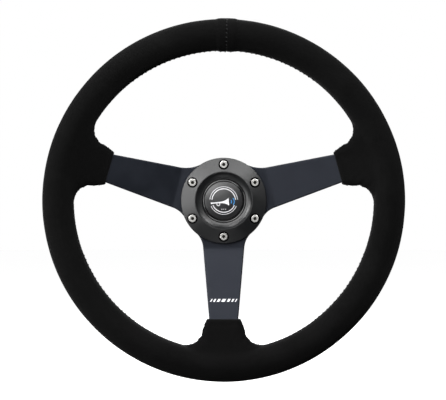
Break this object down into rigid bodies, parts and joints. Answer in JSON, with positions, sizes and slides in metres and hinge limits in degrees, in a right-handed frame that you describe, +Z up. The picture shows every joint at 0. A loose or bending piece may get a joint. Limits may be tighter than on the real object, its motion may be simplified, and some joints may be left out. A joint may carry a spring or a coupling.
{
  "type": "quick release steering wheel",
  "caption": "Round suede racing steering wheel with dished metal spokes, central horn button and a quick release coupler that slides onto a steering column spigot.",
  "frame": {"origin": "centre of the quick release socket's mouth, on the wheel's axis", "axes": "+Y along the wheel's axis towards the steering column, -Y towards the driver; +Z up through the top bolt of the hub; +X to the driver's right"},
  "size_m": [0.35, 0.0869, 0.3508],
  "materials": {
    "black_anodised": "satin",
    "bare_aluminium": "satin",
    "foam": "matte",
    "suede": "matte",
    "black_thread": "matte",
    "satin_black": "satin",
    "bright_steel": "polished",
    "black_plastic": "matte",
    "gloss_black": "gloss",
    "cap_black": "satin",
    "spring_steel": "satin",
    "brass": "satin",
    "hardened_steel": "satin",
    "white_plastic": "matte",
    "seal_rubber": "matte",
    "collar_black": "satin"
  },
  "bodies": {
    "wheel": {"spoke_frame": "black_anodised", "rim_core": "bare_aluminium", "spoke_rivets": "bare_aluminium", "rim_foam": "foam", "suede_cover": "suede", "rim_stitching": "black_thread", "top_seam_stitching": "black_thread", "horn_ring": "satin_black", "wheel_bolts": "bright_steel", "horn_housing": "black_plastic", "horn_bezel": "gloss_black", "horn_spring": "spring_steel", "fixed_contact": "brass", "horn_terminals": "brass", "coupler_body": "satin_black", "spline_insert": "hardened_steel", "contact_carrier": "white_plastic", "contact_spring": "spring_steel", "contact_plug": "brass", "carrier_clip": "spring_steel", "bore_seal": "seal_rubber", "collar_spring": "spring_steel", "stop_ring": "spring_steel"},
    "horn_button": {"horn_cap": "cap_black", "moving_contact": "brass"},
    "collar": {"release_collar": "collar_black", "collar_end_ring": "collar_black"},
    "contact_plunger": {"contact_pin": "brass"},
    "ball_1": {"lock_ball_1": "bright_steel"},
    "ball_2": {"lock_ball_2": "bright_steel"},
    "ball_3": {"lock_ball_3": "bright_steel"},
    "ball_4": {"lock_ball_4": "bright_steel"},
    "ball_5": {"lock_ball_5": "bright_steel"},
    "ball_6": {"lock_ball_6": "bright_steel"}
  },
  "joints": [
    {"name": "collar_slide", "type": "slide", "parent": "wheel", "child": "collar", "axis": [0, -1, 0], "range_m": [0, 0.008], "stiffness_N_per_m": 1500, "springref_m": -0.012, "deforming": ["collar_spring"]},
    {"name": "horn_press", "type": "slide", "parent": "wheel", "child": "horn_button", "axis": [0, 1, 0], "range_m": [0, 0.0015], "stiffness_N_per_m": 1800, "springref_m": -0.003, "deforming": ["horn_spring"]},
    {"name": "contact_plunge", "type": "slide", "parent": "wheel", "child": "contact_plunger", "axis": [0, -1, 0], "range_m": [0, 0.002], "stiffness_N_per_m": 300, "springref_m": -0.003, "deforming": ["contact_spring"]},
    {"name": "ball_slide_1", "type": "slide", "parent": "wheel", "child": "ball_1", "axis": [0, 0, 1], "range_m": [0, 0.0021]},
    {"name": "ball_slide_2", "type": "slide", "parent": "wheel", "child": "ball_2", "axis": [-0.866, 0, 0.5], "range_m": [0, 0.0021]},
    {"name": "ball_slide_3", "type": "slide", "parent": "wheel", "child": "ball_3", "axis": [-0.866, 0, -0.5], "range_m": [0, 0.0021]},
    {"name": "ball_slide_4", "type": "slide", "parent": "wheel", "child": "ball_4", "axis": [0, 0, -1], "range_m": [0, 0.0021]},
    {"name": "ball_slide_5", "type": "slide", "parent": "wheel", "child": "ball_5", "axis": [0.866, 0, -0.5], "range_m": [0, 0.0021]},
    {"name": "ball_slide_6", "type": "slide", "parent": "wheel", "child": "ball_6", "axis": [0.866, 0, 0.5], "range_m": [0, 0.0021]}
  ],
  "couplings": [
    {"joint": "ball_slide_1", "follows": "collar_slide", "ratio": 0.2625},
    {"joint": "ball_slide_2", "follows": "collar_slide", "ratio": 0.2625},
    {"joint": "ball_slide_3", "follows": "collar_slide", "ratio": 0.2625},
    {"joint": "ball_slide_4", "follows": "collar_slide", "ratio": 0.2625},
    {"joint": "ball_slide_5", "follows": "collar_slide", "ratio": 0.2625},
    {"joint": "ball_slide_6", "follows": "collar_slide", "ratio": 0.2625}
  ]
}
